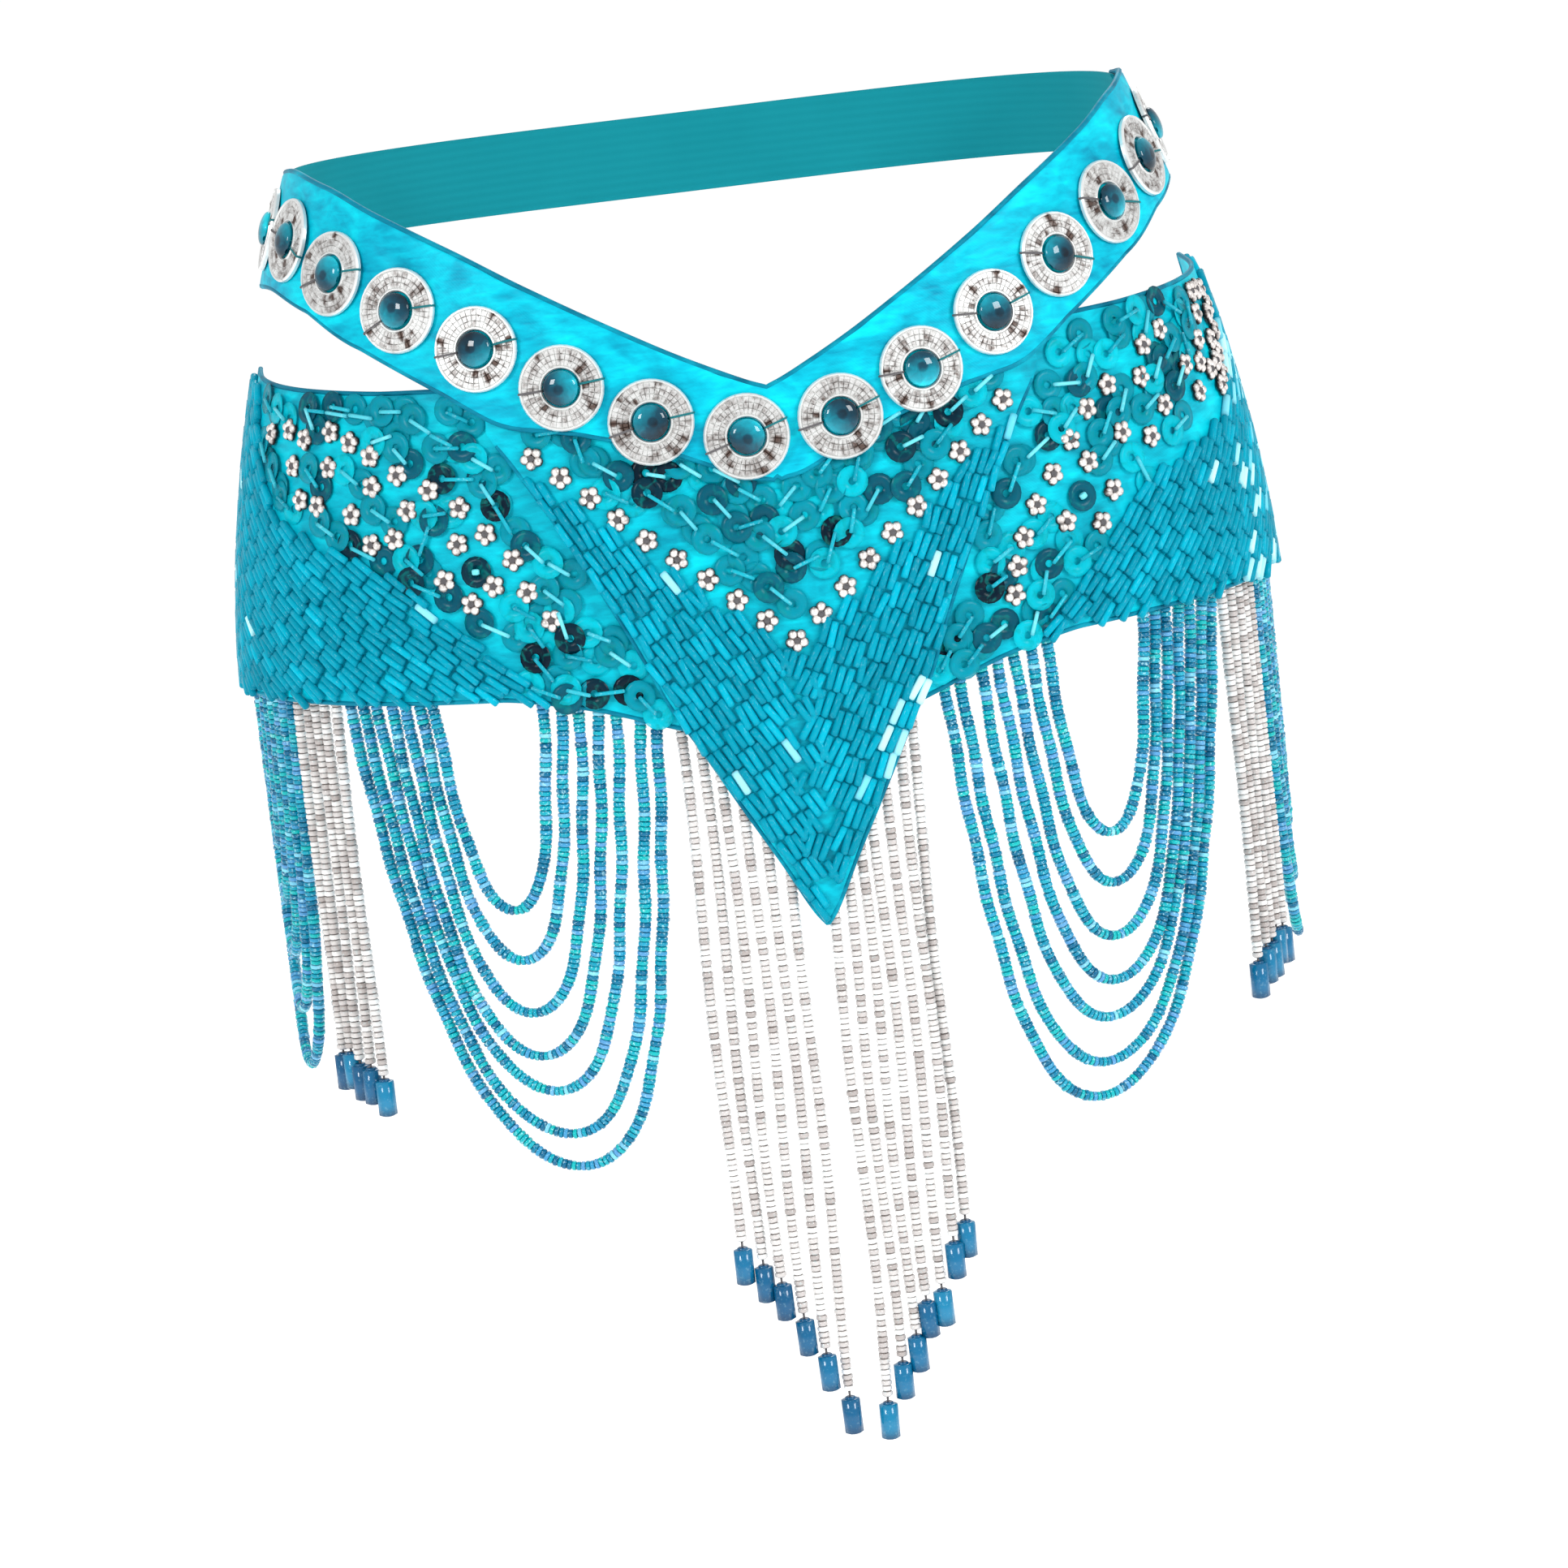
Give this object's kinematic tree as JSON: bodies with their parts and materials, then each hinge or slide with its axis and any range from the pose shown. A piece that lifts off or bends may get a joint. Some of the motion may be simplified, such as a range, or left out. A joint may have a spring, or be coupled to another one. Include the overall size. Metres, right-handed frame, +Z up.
{
  "type": "belly dance hip belt",
  "caption": "Belly dance hip belt: coin-trimmed satin V band on an elastic back, beaded point and hip wings, silver fringe and swags of bead strands.",
  "frame": {"origin": "middle of the waist opening, level with the waistband's top edge at the side seams, where the wearer holds it up", "axes": "+Z up the body, -Y out of the front where the V and the beaded point are, +X to the right as seen from the front"},
  "size_m": [0.3962, 0.2515, 0.484],
  "materials": {
    "satin": "bright turquoise satin, slightly creased, with a turned and piped edge",
    "elastic": "flat matte teal woven elastic",
    "beadwork": "turquoise satin covered with bugle beads in basket weave, ring sequins and small silver flower studs",
    "blue_beads": "small rainbow-coated turquoise seed beads strung close",
    "silver_beads": "silver-lined clear seed beads strung close, ending in a deep blue drop bead",
    "coin_silver": "bright silver stamped ring with a relief of small facets",
    "bead_glass": "glossy dark turquoise round bead"
  },
  "bodies": {
    "root": {"front_band": "satin", "back_elastic": "elastic", "point_panel": "beadwork", "wing_left": "beadwork", "wing_right": "beadwork", "front_swags_left": "blue_beads", "front_swags_right": "blue_beads", "side_swags_left": "blue_beads", "side_swags_right": "blue_beads", "side_fringe_left": "silver_beads", "side_fringe_right": "silver_beads", "centre_fringe": "silver_beads", "coin_01": "coin_silver", "coin_02": "coin_silver", "coin_03": "coin_silver", "coin_04": "coin_silver", "coin_05": "coin_silver", "coin_06": "coin_silver", "coin_07": "coin_silver", "coin_08": "coin_silver", "coin_09": "coin_silver", "coin_10": "coin_silver", "coin_11": "coin_silver", "coin_12": "coin_silver", "coin_13": "coin_silver", "coin_14": "coin_silver", "coin_15": "coin_silver", "coin_bead_01": "bead_glass", "coin_bead_02": "bead_glass", "coin_bead_03": "bead_glass", "coin_bead_04": "bead_glass", "coin_bead_05": "bead_glass", "coin_bead_06": "bead_glass", "coin_bead_07": "bead_glass", "coin_bead_08": "bead_glass", "coin_bead_09": "bead_glass", "coin_bead_10": "bead_glass", "coin_bead_11": "bead_glass", "coin_bead_12": "bead_glass", "coin_bead_13": "bead_glass", "coin_bead_14": "bead_glass", "coin_bead_15": "bead_glass"}
  },
  "joints": []
}
